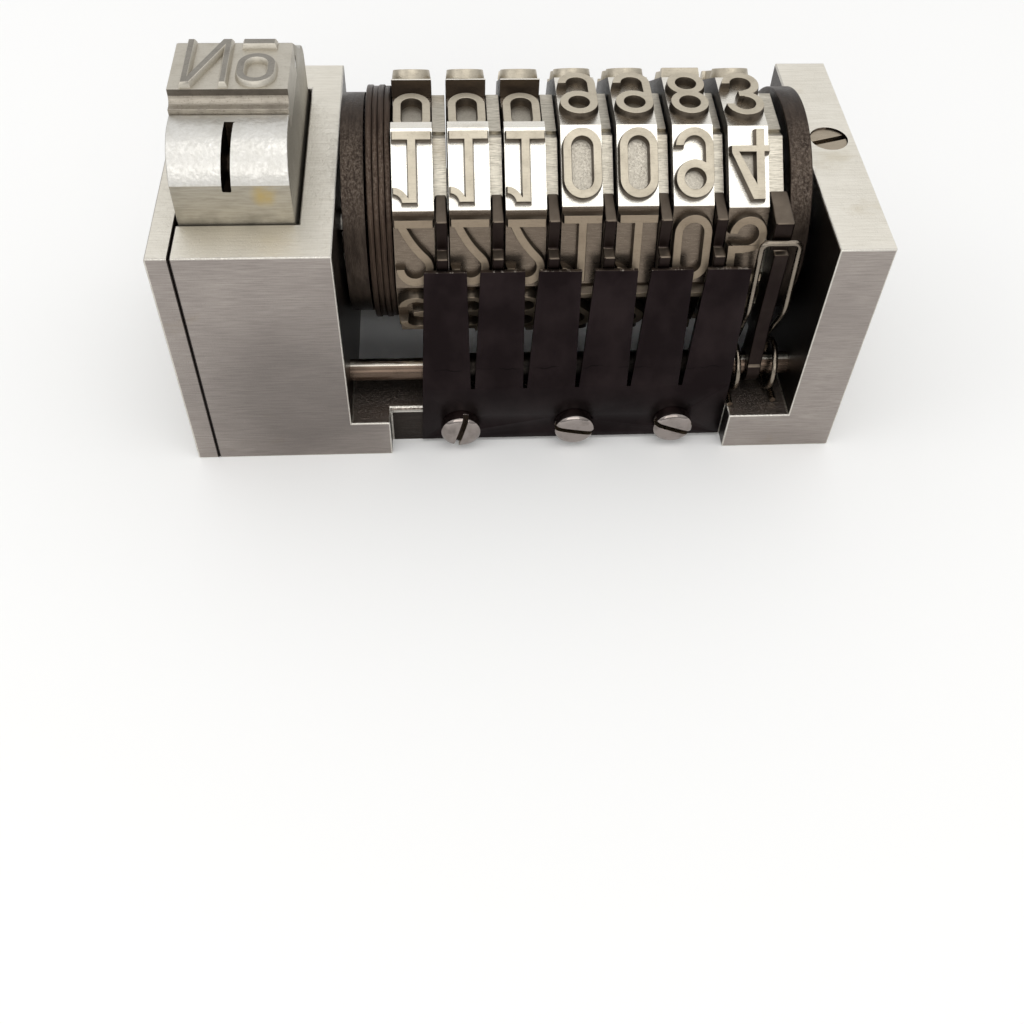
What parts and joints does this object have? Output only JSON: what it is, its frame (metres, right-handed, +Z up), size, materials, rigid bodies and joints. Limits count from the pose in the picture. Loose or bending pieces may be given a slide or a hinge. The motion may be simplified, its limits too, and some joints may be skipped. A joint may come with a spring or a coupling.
{
  "type": "letterpress numbering machine",
  "caption": "Low block frame holding a row of engraved number wheels with ratchets, comb-sprung retaining pawls and a spring plunger that works the indexing swing.",
  "frame": {"origin": "centre of the frame's base, at base height", "axes": "+X along the row of wheels from the plunger to the cheek, +Y from the comb spring to the plain back, +Z up to the printing surface"},
  "size_m": [0.059, 0.027, 0.0319],
  "materials": {
    "frame_steel": "satin, finely ground",
    "plunger_metal": "matt, blasted",
    "slug_metal": "dull cast type metal",
    "wheel_steel": "ground, digits dulled by ink and wear",
    "black_oxide": "black-brown oxide, worn on the edges",
    "nickel": "bright nickel plating",
    "bright_steel": "bright drawn steel"
  },
  "bodies": {
    "frame": {"frame": "frame_steel", "side_plate": "frame_steel", "side_plate_screws": "bright_steel", "main_shaft": "bright_steel", "shaft_lock_screw": "bright_steel", "pawl_rod": "bright_steel", "pawl_spacers": "black_oxide", "comb_spring": "black_oxide", "comb_screws": "nickel", "units_pawl_spring": "bright_steel", "spacer_disc_1": "black_oxide", "spacer_disc_2": "black_oxide", "spacer_disc_3": "black_oxide", "spacer_disc_4": "black_oxide", "plunger_spring_front": "bright_steel", "plunger_spring_back": "bright_steel"},
    "plunger": {"plunger": "plunger_metal", "prefix_slug": "slug_metal", "slug_pin": "bright_steel"},
    "swing": {"swing_left_arm": "black_oxide", "swing_right_arm": "black_oxide", "crank_pin": "bright_steel", "drive_pawl_shaft": "bright_steel", "drive_pawl_spring": "bright_steel"},
    "drive_pawl": {"drive_pawl": "black_oxide"},
    "wheel_1": {"number_wheel_1": "wheel_steel", "ratchet_1": "wheel_steel"},
    "wheel_2": {"number_wheel_2": "wheel_steel", "ratchet_2": "wheel_steel"},
    "wheel_3": {"number_wheel_3": "wheel_steel", "ratchet_3": "wheel_steel"},
    "wheel_4": {"number_wheel_4": "wheel_steel", "ratchet_4": "wheel_steel"},
    "wheel_5": {"number_wheel_5": "wheel_steel", "ratchet_5": "wheel_steel"},
    "wheel_6": {"number_wheel_6": "wheel_steel", "ratchet_6": "wheel_steel"},
    "wheel_7": {"number_wheel_7": "wheel_steel", "ratchet_7": "wheel_steel"},
    "zero_1": {"drop_zero_1": "wheel_steel"},
    "zero_2": {"drop_zero_2": "wheel_steel"},
    "zero_3": {"drop_zero_3": "wheel_steel"},
    "pawl_1": {"retaining_pawl_1": "black_oxide"},
    "pawl_2": {"retaining_pawl_2": "black_oxide"},
    "pawl_3": {"retaining_pawl_3": "black_oxide"},
    "pawl_4": {"retaining_pawl_4": "black_oxide"},
    "pawl_5": {"retaining_pawl_5": "black_oxide"},
    "pawl_6": {"retaining_pawl_6": "black_oxide"},
    "pawl_7": {"retaining_pawl_7": "black_oxide"}
  },
  "joints": [
    {"name": "plunger_slide", "type": "slide", "parent": "frame", "child": "plunger", "axis": [0, 0, -1], "range_m": [0, 0.0036], "stiffness_N_per_m": 1200, "springref_m": -0.004, "deforming": ["plunger_spring_front", "plunger_spring_back"]},
    {"name": "swing_turn", "type": "hinge", "parent": "frame", "child": "swing", "pos_m": [0.01489, 0.0015, 0.01695], "axis": [1, 0, 0], "range_deg": [0, 40.5]},
    {"name": "drive_pawl_rock", "type": "hinge", "parent": "swing", "child": "drive_pawl", "pos_m": [0.0005, 0.00543, 0.00487], "axis": [-1, 0, 0], "range_deg": [0, 6], "stiffness_Nm_per_rad": 0.002, "springref_deg": -17.19},
    {"name": "wheel_1_turn", "type": "hinge", "parent": "frame", "child": "wheel_1", "pos_m": [-0.00887, 0.0015, 0.01695], "axis": [-1, 0, 0], "continuous": true},
    {"name": "wheel_2_turn", "type": "hinge", "parent": "frame", "child": "wheel_2", "pos_m": [-0.00428, 0.0015, 0.01695], "axis": [-1, 0, 0], "continuous": true},
    {"name": "wheel_3_turn", "type": "hinge", "parent": "frame", "child": "wheel_3", "pos_m": [0.00032, 0.0015, 0.01695], "axis": [-1, 0, 0], "continuous": true},
    {"name": "wheel_4_turn", "type": "hinge", "parent": "frame", "child": "wheel_4", "pos_m": [0.00492, 0.0015, 0.01695], "axis": [-1, 0, 0], "continuous": true},
    {"name": "wheel_5_turn", "type": "hinge", "parent": "frame", "child": "wheel_5", "pos_m": [0.00953, 0.0015, 0.01695], "axis": [-1, 0, 0], "continuous": true},
    {"name": "wheel_6_turn", "type": "hinge", "parent": "frame", "child": "wheel_6", "pos_m": [0.01413, 0.0015, 0.01695], "axis": [-1, 0, 0], "continuous": true},
    {"name": "wheel_7_turn", "type": "hinge", "parent": "frame", "child": "wheel_7", "pos_m": [0.01872, 0.0015, 0.01695], "axis": [-1, 0, 0], "continuous": true},
    {"name": "drop_zero_1_slide", "type": "slide", "parent": "wheel_1", "child": "zero_1", "axis": [0, -0.0419, 0.9991], "range_m": [0, 0.0017]},
    {"name": "drop_zero_2_slide", "type": "slide", "parent": "wheel_2", "child": "zero_2", "axis": [0, -0.0384, 0.9993], "range_m": [0, 0.0017]},
    {"name": "drop_zero_3_slide", "type": "slide", "parent": "wheel_3", "child": "zero_3", "axis": [0, -0.0419, 0.9991], "range_m": [0, 0.0017]},
    {"name": "retaining_pawl_1_rock", "type": "hinge", "parent": "frame", "child": "pawl_1", "pos_m": [-0.0067, -0.0092, 0.00675], "axis": [1, 0, 0], "range_deg": [0, 4], "stiffness_Nm_per_rad": 0.01, "springref_deg": -11.46, "deforming": ["comb_spring"]},
    {"name": "retaining_pawl_2_rock", "type": "hinge", "parent": "frame", "child": "pawl_2", "pos_m": [-0.0021, -0.0092, 0.00675], "axis": [1, 0, 0], "range_deg": [0, 4], "stiffness_Nm_per_rad": 0.01, "springref_deg": -11.46, "deforming": ["comb_spring"]},
    {"name": "retaining_pawl_3_rock", "type": "hinge", "parent": "frame", "child": "pawl_3", "pos_m": [0.0025, -0.0092, 0.00675], "axis": [1, 0, 0], "range_deg": [0, 4], "stiffness_Nm_per_rad": 0.01, "springref_deg": -11.46, "deforming": ["comb_spring"]},
    {"name": "retaining_pawl_4_rock", "type": "hinge", "parent": "frame", "child": "pawl_4", "pos_m": [0.0071, -0.0092, 0.00675], "axis": [1, 0, 0], "range_deg": [0, 4], "stiffness_Nm_per_rad": 0.01, "springref_deg": -11.46, "deforming": ["comb_spring"]},
    {"name": "retaining_pawl_5_rock", "type": "hinge", "parent": "frame", "child": "pawl_5", "pos_m": [0.0117, -0.0092, 0.00675], "axis": [1, 0, 0], "range_deg": [0, 4], "stiffness_Nm_per_rad": 0.01, "springref_deg": -11.46, "deforming": ["comb_spring"]},
    {"name": "retaining_pawl_6_rock", "type": "hinge", "parent": "frame", "child": "pawl_6", "pos_m": [0.0163, -0.0092, 0.00675], "axis": [1, 0, 0], "range_deg": [0, 4], "stiffness_Nm_per_rad": 0.01, "springref_deg": -11.46, "deforming": ["comb_spring"]},
    {"name": "retaining_pawl_7_rock", "type": "hinge", "parent": "frame", "child": "pawl_7", "pos_m": [0.0209, -0.0092, 0.00675], "axis": [1, 0, 0], "range_deg": [0, 4], "stiffness_Nm_per_rad": 0.01, "springref_deg": -11.46, "deforming": ["units_pawl_spring"]}
  ],
  "couplings": [
    {"joint": "swing_turn", "follows": "plunger_slide", "rad_per_m": 193.9}
  ]
}
